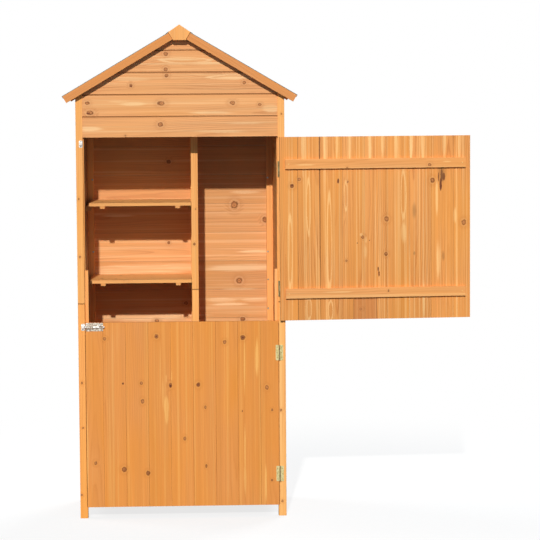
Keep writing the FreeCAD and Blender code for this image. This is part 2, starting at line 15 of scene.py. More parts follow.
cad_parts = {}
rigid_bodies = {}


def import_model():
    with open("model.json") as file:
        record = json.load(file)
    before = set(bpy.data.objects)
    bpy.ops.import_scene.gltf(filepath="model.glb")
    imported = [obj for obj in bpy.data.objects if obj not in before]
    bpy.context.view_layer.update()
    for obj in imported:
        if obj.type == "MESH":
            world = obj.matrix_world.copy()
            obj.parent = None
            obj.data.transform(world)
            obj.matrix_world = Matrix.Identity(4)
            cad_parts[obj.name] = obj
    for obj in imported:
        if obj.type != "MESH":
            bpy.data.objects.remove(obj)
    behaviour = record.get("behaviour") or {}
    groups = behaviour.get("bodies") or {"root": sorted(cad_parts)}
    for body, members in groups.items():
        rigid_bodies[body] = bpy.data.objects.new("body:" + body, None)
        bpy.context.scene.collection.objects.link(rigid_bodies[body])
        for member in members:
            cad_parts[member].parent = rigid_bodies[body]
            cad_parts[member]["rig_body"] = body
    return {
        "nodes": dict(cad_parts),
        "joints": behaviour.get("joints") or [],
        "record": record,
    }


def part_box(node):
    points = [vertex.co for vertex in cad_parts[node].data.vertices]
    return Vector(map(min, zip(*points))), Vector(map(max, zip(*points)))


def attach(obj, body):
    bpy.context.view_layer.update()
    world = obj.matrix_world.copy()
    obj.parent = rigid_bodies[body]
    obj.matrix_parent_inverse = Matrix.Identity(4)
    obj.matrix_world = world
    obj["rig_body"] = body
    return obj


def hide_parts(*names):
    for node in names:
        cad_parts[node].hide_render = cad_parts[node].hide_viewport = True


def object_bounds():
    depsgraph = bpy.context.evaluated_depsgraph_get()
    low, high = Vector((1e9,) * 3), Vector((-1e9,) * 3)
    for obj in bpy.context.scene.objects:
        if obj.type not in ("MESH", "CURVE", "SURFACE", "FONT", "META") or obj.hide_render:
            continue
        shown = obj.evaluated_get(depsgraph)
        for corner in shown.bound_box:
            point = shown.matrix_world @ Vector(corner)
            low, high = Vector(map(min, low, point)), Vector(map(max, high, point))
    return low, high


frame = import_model()
cad_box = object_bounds()

MM = 0.001
FRONT = Vector((0, -1, 0))
REAR = Vector((0, 1, 0))
RIGHT = Vector((1, 0, 0))
UP = Vector((0, 0, 1))
FACING = 0.5               # least cosine at which a face counts as looking a given way

# Camera, fitted to the photo's edges
CAMERA_PLACE = (0.3528, -9.0776, 1.7241)
CAMERA_YAW = 2.45          # degrees to the right
CAMERA_PITCH = 4.81        # degrees down
CAMERA_ROLL = -0.37
CAMERA_LENS = 157.57
SENSOR = 36.0

# Light
KEY_TRAVEL = (0.11, 1.0, -0.548)
KEY_STRENGTH = 3.05
KEY_SPREAD = 1.2           # degrees
KEY_COLOUR = (1.0, 0.965, 0.915)
FILLS = (((-0.6, -1.0, -0.7), 1.9), ((0.9, -0.45, -0.6), 1.2))   # travel and strength, both from behind
FILL_SPREAD = 25.0
FILL_COLOUR = (1.0, 1.0, 1.0)
SKY_COLOUR = (0.6, 0.82, 1.0, 1.0)
SKY_STRENGTH = 0.3

# Floor
FLOOR_RADIUS = 9.0
FLOOR_SIDES = 64
FLOOR_FADE = (0.9, 2.6)    # where the floor's own tone runs out into white
FLOOR_WHITE = 0.78         # share of plain white near the object
FLOOR_BOUNCE = 0.1         # share of the light that the floor throws back on the object
FLOOR_ROUGHNESS = 0.9
PAPER_WAVES = (40.0, 40.0, 40.0)
PAPER_TONES = ((0.3, 0.84), (0.7, 0.88))

# Meshes of the pieces
WELD = 0.002 * MM
FLAT = math.radians(0.5)
SHARP = math.radians(35)
EASE_STEPS = 2             # faces across a rounded arris
WOOD_EASED = 0.3 * MM      # width of the rounding
WOOD_EASE_SHAPE = 0.6
LEAF_EASED = 0.2 * MM
BOLT_EASED = 0.25 * MM
FELT_EASED = 0.4 * MM
SHADED_INNER_FACES = {            # boards whose side that looks into the cabinet gets the darker inner wood, as painted shade
    "side_boards_left": RIGHT,
    "gable_boards_front": REAR,
    "gable_boards_rear": FRONT,
    "roof_boards_left": -UP,
    "roof_boards_right": -UP,
    "shelf_top_boards": -UP,
    "shelf_middle_boards": -UP,
    "shelf_bottom_boards": -UP,
}
END_GRAIN = 0.85           # how squarely a face cuts the fibres
SLANT = 0.4                # the same for the bevelled faces where two lengths meet
# painted shade on those bevelled faces
SLANT_SHADE = 0.6
JOINTED = ("post_", "divider_stile_front")   # pieces in two lengths
JOINT_START = 0.5 * MM     # depth at which the painted shade and dirt of a board joint starts
JOINT_DARK = 5.0 * MM      # depth at which it is darkest
JOINT_REACH = 3.5 * MM     # from the neighbouring board
OPEN_SEAMS = ((0.933, 4.2 * MM, 0.0), (0.847, 0.5 * MM, 0.9 * MM))   # upper door: X, gap above, gap below
SEAM_REACH = 12 * MM       # from the board's edge, tongue included

# Fasteners
SCREW_SIDES = 12
SCREW_R = 2.4 * MM
SMALL_SCREW_R = 2.0 * MM
LARGE_SCREW_R = 3.8 * MM
SCREW_HEIGHT = 0.55        # a head's shape, in its radii
SCREW_PROFILE = ((1.0, -0.5), (1.0, 0.15), (0.86, 0.65), (0.62, 1.0))   # shares of the radius and height
CROSS_ARM = 0.5
CROSS_HALF = 0.13
CROSS_FLOOR = 0.2          # share of the height
NAIL_SIDES = 10
NAIL_R = 1.8 * MM
NAIL_PROFILE = ((1.0, -0.12), (1.0, 0.06), (0.85, 0.14), (0.4, 0.17))   # radius and rise, in radii
NAIL_HEIGHTS = (0.28, 0.72)                  # share of a back board's height
CLOUT_R = 4.0 * MM
CLOUT_PITCH = 95 * MM
CLOUT_INSET = 12 * MM
LEAF_FACE = -1.5 * MM      # front of a hinge leaf
LEAF_SCREW_INSET = 5.3 * MM
LEAF_SCREW_PITCH = 20 * MM
PLATE_FACE = -1.2 * MM     # front of a bolt's plate
PLATE_SCREW_INSET = 4.5 * MM
KEEPER_SCREW_INSET = 3.4 * MM
LEDGE_SCREW_INSET = 13 * MM
BATTEN_SCREW_INSET = 5 * MM
BATTEN_SCREW_HEIGHTS = (("left", (1.296, 1.007)), ("right", (1.299, 1.002, 0.890, 0.773)))


# What the frame says

def slot_of(node):
    return next(part["material_slot"] for part in frame["record"]["subparts"] if part["node"] == node)


def joint_named(name):
    return next(joint for joint in frame["joints"] if joint["name"] == name)


def hinge_axis():
    return Vector(joint_named("lower_door_hinge")["pos_m"])


# Materials

MIX_SHARE, MIX_FIRST, MIX_SECOND = 0, 6, 7   # sockets of a Mix node for colours
MIX_RESULT = 2


def tone(red, green, blue):
    """A colour given in screen values from 0 to 255, as Blender's linear colour by the sRGB curve."""
    shares = [value / 255 for value in (red, green, blue)]
    linear = [share / 12.92 if share <= 0.04045 else ((share + 0.055) / 1.055) ** 2.4 for share in shares]
    return (*linear, 1.0)


def grey(value):
    return (value, value, value, 1.0)


class Nodes:
    """A node tree, emptied first, with short calls that add a node and give back its output."""

    def __init__(self, tree):
        self.tree = tree
        self.tree.nodes.clear()

    def feed(self, socket, value):
        """Links an output to a socket, or sets the socket to a plain value."""
        if isinstance(value, bpy.types.NodeSocket):
            self.tree.links.new(value, socket)
        else:
            socket.default_value = value

    def add(self, kind, inputs=None, **settings):
        node = self.tree.nodes.new(kind)
        for name, value in settings.items():
            setattr(node, name, value)
        for key, value in (inputs or {}).items():
            self.feed(node.inputs[key], value)
        return node

    def math(self, operation, *values):
        return self.add("ShaderNodeMath", dict(enumerate(values)), operation=operation).outputs[0]

    def vector(self, operation, *values):
        node = self.add("ShaderNodeVectorMath", dict(enumerate(values)), operation=operation)
        return node.outputs["Vector"]

    def length(self, value):
        return self.add("ShaderNodeVectorMath", {0: value}, operation="LENGTH").outputs["Value"]

    def split(self, value):
        return self.add("ShaderNodeSeparateXYZ", {"Vector": value}).outputs

    def attribute(self, name):
        return self.add("ShaderNodeAttribute", attribute_name=name)

    def place(self):
        return self.add("ShaderNodeTexCoord").outputs["Object"]

    def noise(self, place, stretch, detail=2.0, roughness=0.5):
        """Noise about a half, from 0 to 1, with as many waves a metre along each axis as stretch says."""
        stretched = self.vector("MULTIPLY", place, stretch)
        settings = {"Vector": stretched, "Scale": 1.0, "Detail": detail, "Roughness": roughness}
        return self.add("ShaderNodeTexNoise", settings).outputs["Fac"]

    def step(self, value, low, high, start=0.0, end=1.0):
        """A smooth change from start to end while the value goes from low to high."""
        settings = {"Value": value, "From Min": low, "From Max": high, "To Min": start, "To Max": end}
        return self.add("ShaderNodeMapRange", settings, interpolation_type="SMOOTHSTEP").outputs["Result"]

    def spread(self, chance, width, middle):
        """Spreads values from 0 to 1 over a width about a middle."""
        return self.math("MULTIPLY_ADD", chance, width, self.math("SUBTRACT", middle, width / 2))

    def gap(self, first, second):
        return self.math("ABSOLUTE", self.math("SUBTRACT", first, second))

    def mix(self, share, first, second):
        settings = {MIX_SHARE: share, MIX_FIRST: first, MIX_SECOND: second}
        return self.add("ShaderNodeMix", settings, data_type="RGBA").outputs[MIX_RESULT]

    def ramp(self, value, stops):
        node = self.add("ShaderNodeValToRGB", {"Fac": value})
        points = node.color_ramp.elements
        while len(points) < len(stops):
            points.new(1.0)
        for point, (position, colour) in zip(points, stops):
            point.position = position
            point.color = colour
        return node.outputs["Color"]

    def blend(self, share, first, second):
        """Mixes two shaders."""
        return self.add("ShaderNodeMixShader", {0: share, 1: first, 2: second}).outputs["Shader"]


class Shader(Nodes):
    """A material with one surface."""

    def __init__(self, name):
        self.material = bpy.data.materials.new(name)
        self.material.use_nodes = True
        super().__init__(self.material.node_tree)
        self.surface = self.add("ShaderNodeBsdfPrincipled")
        self.output = self.add("ShaderNodeOutputMaterial", {"Surface": self.surface.outputs["BSDF"]})

    def finish(self, colour, roughness, height, depth):
        """Joins the colour, the roughness and a bump of that depth to the surface."""
        bump = self.add("ShaderNodeBump", {"Height": height, "Distance": depth, "Strength": 1.0})
        self.feed(self.surface.inputs["Base Color"], colour)
        self.feed(self.surface.inputs["Roughness"], roughness)
        self.feed(self.surface.inputs["Normal"], bump.outputs["Normal"])
        return self.material


# Wood: growth rings round a pith that differs for each board, fibres, streaks, knots and pale flames.
# Waves count a metre along, across and through a board, or along X, Y and Z.
# An edge or a step gives the values where a change starts and ends, then the shares before and after.

KNOT_RIM = tone(112, 60, 30)
KNOT_HEART = tone(198, 130, 76)
KNOT_PITH = tone(140, 78, 40)
POCKET = tone(104, 50, 32)
STAIN = tone(150, 104, 58)
PATCH = tone(206, 130, 76)
# painted shade and dirt, deep in the joints between boards
JOINT_SHADE_AND_DIRT = tone(84, 46, 22)

BOARD_SHIFT = (7.0, 5.0, 3.0)    # how far apart the patterns of two boards may lie
SHAKE = 3.0 * MM                 # unevenness of the outlines of marks
SHAKE_SCALE = 160.0
FRAY = 1.6                       # lengthwise unevenness, in a mark's own radii
FRAY_WAVES = (4.0, 90.0, 90.0)

RING_PITCH = 6.0 * MM
LATE_WOOD = ((0.0, grey(0.15)), (0.35, grey(0.0)), (0.72, grey(0.5)), (0.9, grey(1.0)), (1.0, grey(0.15)))
BEND = 60 * MM
BEND_WAVES = (1.3, 5.0, 5.0)
PITH_ASIDE = 120 * MM            # range of the pith's place across a board
PITH_NEAR = 16 * MM              # least distance of the pith from the board's middle
PITH_DEPTH = 50 * MM             # range of that distance
TAPER = 0.06                     # range of the slope between the rings and the board
RIPPLE = 6.0 * MM
RIPPLE_WAVES = (7.0, 40.0, 40.0)

BROAD_WAVES = (0.6, 42.0, 42.0)  # broad streaks
LINE_WAVES = 0.5                 # thin streaks, along the board
LINE_SHIFT = (2.0, 3.0, 1.0)
PALE_LINES = (0.525, 0.63)
DARK_LINES = (0.42, 0.32)
DARK_LINE_SHARE = 0.7            # of the pale lines' strength
FIBRE_WAVES = (9.0, 650.0, 650.0)
FIBRE_VALUE = 0.14               # range of brightness
BLOTCH_WAVES = (2.5, 9.0, 9.0)
BLOTCHES = (0.36, 0.66)
FAINT_RINGS = 0.15               # share of the rings' contrast between blotches
BLOTCH_SATURATION = 0.1          # range

SCATTERED = ((0.42, 0.075), 6.0 * MM)  # scattered knots: spacing along and across a board, radius
SCATTER_RANDOM = 0.9
NO_KNOT = (0.42, 0.44, 0.0, 9.0)  # step of chance above which a cell has no knot
KNOT_HALO = 3.6                  # reach of a knot's swirl, in its own radii
KNOT_PUSH = (KNOT_HALO, 0.7)     # edge within which a knot bends the rings
KNOT_PUSH_RINGS = 1.8
DARK_KINDS = (0.5, 0.66)
DARK_KIND_WAVES = (31.0, 31.0, 31.0)
DARK_KIND_SHARE = 0.7
DENT = 0.9                       # unevenness of a knot's outline, in its radii
DENT_WAVES = (150.0, 150.0, 150.0)
SWIRL = (KNOT_HALO, 1.2, 0.0, 0.35)
PALE_RING_R = 1.5
PALE_RING = (0.4, 0.1, 0.0, 0.18)
HEART = ((0.0, KNOT_PITH), (0.25, KNOT_HEART), (0.5, KNOT_HEART), (0.85, KNOT_RIM))
KNOT_EDGE = 1.15
KNOT_BLUR = 0.3                  # how much further the edge of an all dark knot reaches
KNOT_STEP = (0.85, 0.0, 0.85)    # end of the edge, then the shares outside and inside
KNOT_BULGE = (1.2, 0.9)

FLAME_EDGE = (1.3, 0.6)
FLAME_WAVES = (3.0, 130.0, 130.0)
FLAME_FIBRES = (0.4, 0.6, 0.42, 0.88)
LOOP_FRAY = 0.5                  # share of the lengthwise unevenness
LOOP_PUSH = (2.6, 1.0)
LOOP_PUSH_RINGS = 1.6
LOOP_LINE = (0.22, 0.06, 0.0, 0.75)
POCKET_FRAY = 0.5
POCKET_EDGE = (1.1, 0.75)
POCKET_STREAKS = (0.3, 0.5, 0.55, 0.95)
STAIN_EDGE = (1.4, 0.3, 0.0, 0.5)
PATCH_SIDE = (-0.4, -0.6, 0.0, 0.6)  # of the normal along Y: only the door's inner side has the patch
PATCH_EDGE = (-0.3 * MM, 0.3 * MM)
PATCH_RIM = (1.6 * MM, 0.6 * MM)

EDGE_WEAR_AND_HIGHLIGHT = (3.0 * MM, 0.6 * MM)  # paler along the long edges, here and there: partly wear, partly painted highlight on the arrises
EDGE_WEAR_AND_HIGHLIGHT_STREAKS = (0.4, 0.65, 0.0, 0.3)
# painted shade along the board seams
SEAM_SHADE_EDGE = (1.2 * MM, 0.4 * MM)
END_GRAIN_SHARE = 0.55
WOOD_SPECULAR = 0.2
WOOD_ROUGHNESS = 0.5
FIBRE_ROUGHNESS = 0.2
LATE_ROUGHNESS = -0.08
FIBRE_HEIGHT = 0.5
LATE_HEIGHT = 0.35
WOOD_BUMP = 0.2 * MM


def ragged(shader):
    """The place on the object, shaken a little, so that marks get uneven outlines."""
    place = shader.place()
    settings = {"Vector": place, "Scale": SHAKE_SCALE, "Detail": 2.0}
    shake = shader.add("ShaderNodeTexNoise", settings).outputs["Color"]
    shaken = shader.vector("MULTIPLY_ADD", shake, (SHAKE, 0, SHAKE), place)
    return shader.vector("SUBTRACT", shaken, (SHAKE / 2, 0, SHAKE / 2))


def nearest(shader, place, marks):
    """How far the nearest mark is, in its own radii. A mark is (x, z, half width, half height) in mm."""
    closest = None
    for x, z, half_width, half_height in marks:
        scale = (1 / (half_width * MM), 0, 1 / (half_height * MM))
        shift = (-x / half_width, 0, -z / half_height)
        away = shader.length(shader.vector("MULTIPLY_ADD", place, scale, shift))
        closest = shader.math("MINIMUM", closest, away) if closest else away
    return closest


def scattered_knots(shader, spot, spacing, radius):
    """Distance to the nearest of the knots scattered over every board, in its own radii."""
    cells = shader.vector("MULTIPLY", spot, (1 / spacing[0], 1 / spacing[1], 0))
    settings = {"Vector": cells, "Scale": 1.0, "Randomness": SCATTER_RANDOM}
    voronoi = shader.add("ShaderNodeTexVoronoi", settings)
    offset = shader.vector("SUBTRACT", cells, voronoi.outputs["Position"])
    real = shader.vector("MULTIPLY", offset, (spacing[0] / radius, spacing[1] / radius, 0))
    missing = shader.step(shader.split(voronoi.outputs["Color"])[0], *NO_KNOT)
    return shader.math("ADD", shader.length(real), missing)


def ring_count(shader, grain, spot, chance):
    """Growth rings from the pith, which lies at another place beside each board."""
    along, across, depth = shader.split(grain)
    sideways = shader.spread(shader.noise(spot, BEND_WAVES), BEND, across)
    sideways = shader.spread(chance[0], -PITH_ASIDE, sideways)
    inwards = shader.math("MULTIPLY_ADD", chance[1], PITH_DEPTH, shader.math("ADD", depth, PITH_NEAR))
    squares = shader.math("MULTIPLY_ADD", sideways, sideways, shader.math("MULTIPLY", inwards, inwards))
    taper = shader.math("MULTIPLY", shader.spread(chance[2], TAPER, 0.0), along)
    ripple = shader.math("MULTIPLY", shader.noise(spot, RIPPLE_WAVES, detail=3.0), RIPPLE)
    reach = shader.math("ADD", shader.math("SQRT", squares), shader.math("ADD", taper, ripple))
    return shader.math("MULTIPLY", reach, 1 / RING_PITCH)


def late_wood(shader, rings, knot, loop):
    """Share of dark late wood through the growth rings, which bend round the knots and the loops."""
    if knot:
        rings = shader.math("MULTIPLY_ADD", shader.step(knot, *KNOT_PUSH), KNOT_PUSH_RINGS, rings)
    if loop:
        rings = shader.math("MULTIPLY_ADD", shader.step(loop, *LOOP_PUSH), LOOP_PUSH_RINGS, rings)
    return shader.split(shader.ramp(shader.math("FRACT", rings), LATE_WOOD))[0]


def streaked(shader, spot, colour, pale, dark, streaks, lines_a_metre):
    """Lengthwise streaks: broad ones in the tone, thin pale lines and thin dark ones."""
    broad = shader.noise(spot, BROAD_WAVES, detail=5.0, roughness=0.75)
    apart = shader.vector("ADD", spot, LINE_SHIFT)
    waves = (LINE_WAVES, lines_a_metre, lines_a_metre)
    lines = shader.noise(apart, waves, detail=4.0, roughness=0.65)
    colour = shader.mix(shader.step(lines, *PALE_LINES, 0.0, streaks), colour, pale)
    colour = shader.mix(shader.step(lines, *DARK_LINES, 0.0, streaks * DARK_LINE_SHARE), colour, dark)
    return broad, colour, shader.spread(broad, streaks, 1.0)


def varied(shader, colour, value, fibre, blotch, chance, variety):
    """Lets the tone differ between fibres, blotches and boards."""
    value = shader.spread(fibre, FIBRE_VALUE, value)
    value = shader.spread(chance, variety, value)
    saturation = shader.spread(blotch, -BLOTCH_SATURATION, 1.0)
    settings = {"Saturation": saturation, "Value": value, "Color": colour}
    return shader.add("ShaderNodeHueSaturation", settings).outputs["Color"]


def rubbed_and_highlit(shader, edge, broad, colour, pale):
    """Makes the long edges paler here and there: partly wear, partly painted highlight where the arrises
    catch the light.
    """
    streaks = shader.step(broad, *EDGE_WEAR_AND_HIGHLIGHT_STREAKS)
    share = shader.math("MULTIPLY", shader.step(edge, *EDGE_WEAR_AND_HIGHLIGHT), streaks)
    return shader.mix(share, colour, pale)


def knotted(shader, knot, colour, pale, dark):
    """Draws knots: pith, heart, dark rim, pale ring and a darker swirl about it. Some are all dark."""
    place = shader.place()
    all_dark = shader.step(shader.noise(place, DARK_KIND_WAVES), *DARK_KINDS)
    knot = shader.spread(shader.noise(place, DENT_WAVES, detail=3.0), DENT, knot)
    colour = shader.mix(shader.step(knot, *SWIRL), colour, dark)
    colour = shader.mix(shader.step(shader.gap(knot, PALE_RING_R), *PALE_RING), colour, pale)
    heart = shader.ramp(knot, HEART)
    heart = shader.mix(shader.math("MULTIPLY", all_dark, DARK_KIND_SHARE), heart, KNOT_RIM)
    edge = shader.math("MULTIPLY_ADD", all_dark, KNOT_BLUR, KNOT_EDGE)
    return shader.mix(shader.step(knot, edge, *KNOT_STEP), colour, heart)


def flamed(shader, spot, flame, loop, colour, pale):
    """Draws pale flames that are broken up into fibres, and loops of pale grain."""
    if flame:
        fibres = shader.step(shader.noise(spot, FLAME_WAVES, detail=3.0), *FLAME_FIBRES)
        shape = shader.step(flame, *FLAME_EDGE)
        colour = shader.mix(shader.math("MULTIPLY", shape, fibres), colour, pale)
    if loop:
        colour = shader.mix(shader.step(shader.gap(loop, 1.0), *LOOP_LINE), colour, pale)
    return colour


def patched(shader, patch, colour):
    """Draws a darker piece let into the door's inner side, with a dark line round it."""
    x, z, half_width, half_height = (value * MM for value in patch)
    away = shader.vector("SUBTRACT", shader.place(), (x, 0, z))
    offset = shader.split(shader.vector("ABSOLUTE", away))
    inside = shader.math("MINIMUM", shader.math("SUBTRACT", half_width, offset[0]),
                         shader.math("SUBTRACT", half_height, offset[2]))
    normal = shader.add("ShaderNodeTexCoord").outputs["Normal"]
    inner_side = shader.step(shader.split(normal)[1], *PATCH_SIDE)
    filled = shader.step(inside, *PATCH_EDGE)
    colour = shader.mix(shader.math("MULTIPLY", filled, inner_side), colour, PATCH)
    rim = shader.step(shader.math("ABSOLUTE", inside), *PATCH_RIM)
    return shader.mix(shader.math("MULTIPLY", rim, inner_side), colour, POCKET)


def marked(shader, place, colour, pockets, stains, broad, fray):
    """Draws dark bark pockets and weak grey stains."""
    if pockets:
        away = shader.math("MULTIPLY_ADD", fray, POCKET_FRAY, nearest(shader, place, pockets))
        streaks = shader.step(broad, *POCKET_STREAKS)
        share = shader.math("MULTIPLY", shader.step(away, *POCKET_EDGE), streaks)
        colour = shader.mix(share, colour, POCKET)
    if stains:
        share = shader.step(nearest(shader, place, stains), *STAIN_EDGE)
        colour = shader.mix(share, colour, STAIN)
    return colour


def wood(name, light, dark, pale, knots=(), flames=(), loops=(), pockets=(), stains=(), patch=None,
         scattered=None, contrast=0.8, streaks=0.5, variety=0.04, seam_shade=0.0, lines_a_metre=85.0):
    """Stained softwood on pieces that carry the grain, board and surface attributes."""
    light, dark, pale = (tone(*colour) for colour in (light, dark, pale))
    shader = Shader(name)
    grain = shader.attribute("grain").outputs["Vector"]
    board = shader.attribute("board")
    chance = shader.split(board.outputs["Vector"])
    end_grain, shade_and_dirt, _ = shader.split(shader.attribute("surface").outputs["Vector"])
    spot = shader.vector("MULTIPLY_ADD", board.outputs["Vector"], BOARD_SHIFT, grain)
    place = ragged(shader)
    fray = shader.spread(shader.noise(spot, FRAY_WAVES, detail=3.0), FRAY, 0.0)

    # Distances to the marks, and the pattern of the grain
    knot = scattered_knots(shader, spot, *scattered) if scattered else nearest(shader, place, knots)
    flame = shader.math("ADD", nearest(shader, place, flames), fray) if flames else None
    loop = shader.math("MULTIPLY_ADD", fray, LOOP_FRAY, nearest(shader, place, loops)) if loops else None
    late = late_wood(shader, ring_count(shader, grain, spot, chance), knot, loop)
    fibre = shader.noise(spot, FIBRE_WAVES, detail=2.0)
    blotch = shader.noise(spot, BLOTCH_WAVES)
    aside = shader.math("ABSOLUTE", shader.split(grain)[1])
    edge = shader.math("SUBTRACT", board.outputs["Alpha"], aside)

    # Colour of the plain wood
    share = shader.math("MULTIPLY", late, shader.step(blotch, *BLOTCHES, contrast * FAINT_RINGS, contrast))
    colour = shader.mix(share, light, dark)
    broad, colour, value = streaked(shader, spot, colour, pale, dark, streaks, lines_a_metre)
    colour = flamed(shader, spot, flame, loop, colour, pale)
    colour = varied(shader, colour, value, fibre, blotch, chance[2], variety)
    colour = rubbed_and_highlit(shader, edge, broad, colour, pale)

    # Knots, other marks, and painted shade and dirt in the joints
    height = shader.math("MULTIPLY_ADD", fibre, FIBRE_HEIGHT, shader.math("MULTIPLY", late, LATE_HEIGHT))
    if knot:
        colour = knotted(shader, knot, colour, pale, dark)
        height = shader.math("ADD", height, shader.step(knot, *KNOT_BULGE))
    colour = marked(shader, place, colour, pockets, stains, broad, fray)
    if patch:
        colour = patched(shader, patch, colour)
    end_share = shader.math("MULTIPLY", end_grain, END_GRAIN_SHARE)
    colour = shader.mix(end_share, colour, shader.mix(late, dark, KNOT_HEART))
    # painted shade: a thin dark line along each board's edge, where the seam's shadow falls
    if seam_shade:
        shade_and_dirt = shader.math("MAXIMUM", shade_and_dirt, shader.step(edge, *SEAM_SHADE_EDGE, 0.0, seam_shade))
    # painted shade and dirt: darker deep in the joints, on the bevels and along the seams
    colour = shader.mix(shade_and_dirt, colour, JOINT_SHADE_AND_DIRT)

    glossy = shader.math("MULTIPLY_ADD", late, LATE_ROUGHNESS, WOOD_ROUGHNESS)
    roughness = shader.math("MULTIPLY_ADD", fibre, FIBRE_ROUGHNESS, glossy)
    shader.surface.inputs["Specular IOR Level"].default_value = WOOD_SPECULAR
    return shader.finish(colour, roughness, height, WOOD_BUMP)


def upper_door_wood():
    knots = [(827, 1284, 7, 7), (855, 1309, 6, 6), (1044, 1298, 3, 4), (1194, 1152, 8, 9),
             (1192, 1017, 6, 7), (1101, 1083, 5, 6), (1374, 1300, 8, 9), (1497, 1135, 8, 10),
             (1037, 992, 4, 4), (1092, 804, 5, 5)]
    flames = [(1398, 984, 8, 70), (1111, 1027, 6, 28), (1261, 1100, 9, 42), (1462, 1160, 6, 30),
              (1340, 830, 5, 60), (1390, 1240, 5, 60), (870, 1440, 6, 110), (958, 1440, 7, 90),
              (1000, 1450, 5, 80), (1050, 1445, 6, 90), (1130, 1440, 6, 90), (1180, 1450, 6, 80),
              (1232, 1440, 7, 80), (1290, 1450, 6, 70), (1335, 1445, 7, 80), (1420, 1450, 7, 60),
              (1480, 1450, 6, 80), (1112, 1073, 5, 14), (1094, 1092, 6, 6)]
    loops = [(971, 1055, 9, 170), (819, 1033, 8, 140), (891, 1200, 8, 95), (1035, 1240, 6, 55),
             (1261, 1245, 9, 90), (975, 800, 8, 40), (892, 810, 8, 40)]
    pockets = [(1410, 1319, 5, 28), (1406, 1284, 5, 28), (1418, 1313, 5, 15), (1398, 1312, 2, 20),
               (1161, 958, 3, 9), (1164, 940, 3, 12), (1006, 1301, 4, 10), (827, 1286, 4, 4),
               (1128, 1070, 2, 2), (1080, 1060, 2, 2)]
    stains = [(1303, 1182, 9, 30), (1303, 1017, 5, 8), (1416, 1005, 6, 20), (1411, 1330, 16, 40)]
    return wood("upper_door_wood", (234, 157, 83), (200, 120, 54), (254, 200, 132), knots, flames, loops,
                pockets, stains, patch=(1110, 803, 45, 40), streaks=0.62, seam_shade=0.35, lines_a_metre=150.0)


def lower_door_wood():
    knots = [(301, 707, 7, 8), (634, 699, 8, 8), (564, 682, 6, 7), (101, 700, 6, 6), (241, 526, 5, 6),
             (245, 455, 6, 8), (353, 516, 6, 9), (460, 517, 7, 8), (487, 429, 4, 6), (726, 504, 6, 8),
             (746, 415, 4, 5), (630, 412, 2, 3), (407, 308, 5, 7), (61, 216, 5, 6), (171, 190, 8, 9),
             (263, 174, 7, 8), (489, 199, 4, 6), (744, 140, 4, 4)]
    flames = [(336, 436, 9, 32), (337, 408, 6, 36), (323, 490, 3, 62), (337, 542, 2, 18),
              (358, 550, 2, 24), (640, 590, 3, 130), (640, 250, 3, 110), (688, 620, 6, 70),
              (315, 590, 2, 100), (640, 150, 5, 60), (30, 260, 3, 160), (720, 130, 3, 60)]
    pockets = [(170, 525, 4, 5), (460, 517, 5, 6), (301, 707, 4, 4), (634, 699, 5, 4), (630, 412, 2, 3),
               (353, 514, 4, 7)]
    return wood("lower_door_wood", (230, 149, 73), (206, 124, 52), (250, 186, 104), knots, flames,
                pockets=pockets, contrast=0.45, streaks=0.36, variety=0.06)


def gable_wood():
    knots = [(347, 1792, 8, 7), (347, 1733, 7, 7), (350, 1710, 7, 6), (213, 1673, 6, 6), (647, 1681, 6, 6),
             (329, 1604, 12, 8), (601, 1604, 10, 7), (706, 1597, 6, 5), (46, 1607, 8, 6), (55, 1570, 12, 8),
             (324, 1523, 9, 8), (190, 1481, 3, 3)]
    flames = [(395, 1772, 70, 5), (198, 1698, 72, 8), (599, 1700, 60, 6), (222, 1603, 50, 9),
              (165, 1612, 45, 4), (50, 1507, 45, 8), (528, 1566, 75, 6), (750, 1582, 30, 14),
              (520, 1757, 70, 5), (560, 1495, 110, 5), (650, 1525, 60, 4)]
    loops = [(420, 1768, 90, 10), (600, 1702, 90, 9)]
    pockets = [(213, 1671, 4, 4), (50, 1568, 8, 3)]
    return wood("gable_wood", (238, 170, 110), (196, 124, 72), (252, 204, 148), knots, flames,
                loops, pockets, streaks=0.6)


def back_wall_wood():
    knots = [(617, 1189, 13, 14), (739, 1129, 9, 10), (634, 884, 11, 11), (647, 728, 9, 7),
             (355, 1365, 8, 7), (301, 725, 8, 6), (419, 795, 7, 6), (352, 1040, 5, 5)]
    flames = [(230, 932, 190, 22), (390, 940, 110, 14), (655, 1240, 60, 5), (700, 1000, 60, 6),
              (150, 1150, 60, 6), (640, 850, 70, 4), (640, 938, 150, 16), (250, 742, 200, 15),
              (555, 806, 60, 9), (590, 788, 75, 6), (695, 806, 45, 6)]
    return wood("back_wall_wood", (225, 161, 102), (190, 122, 70), (252, 208, 158), knots, flames,
                contrast=0.5, streaks=0.36, variety=0.2, seam_shade=0.6, lines_a_metre=60.0)


def left_foot_wood():
    knots = [(12, 529, 4, 5), (14, 354, 4, 3), (6, 92, 4, 4)]
    return wood("left_foot_wood", (250, 165, 81), (228, 134, 54), (254, 188, 106), knots,
                contrast=0.6, streaks=0.4)


def post_wood():
    knots = [(780, 414, 4, 5), (784, 57, 4, 5), (11, 1017, 4, 5), (9, 1240, 3, 5), (789, 1560, 3, 4)]
    return wood("post_wood", (251, 177, 99), (227, 144, 68), (255, 204, 134), knots,
                contrast=0.6, streaks=0.4)


def frame_wood():
    return wood("frame_wood", (250, 176, 102), (222, 140, 70), (253, 200, 132),
                scattered=SCATTERED, contrast=0.7)


def stile_wood():
    knots = [(452, 1054, 4, 5), (458, 1190, 2, 3)]
    return wood("stile_wood", (248, 174, 98), (218, 138, 68), (254, 200, 130), knots)


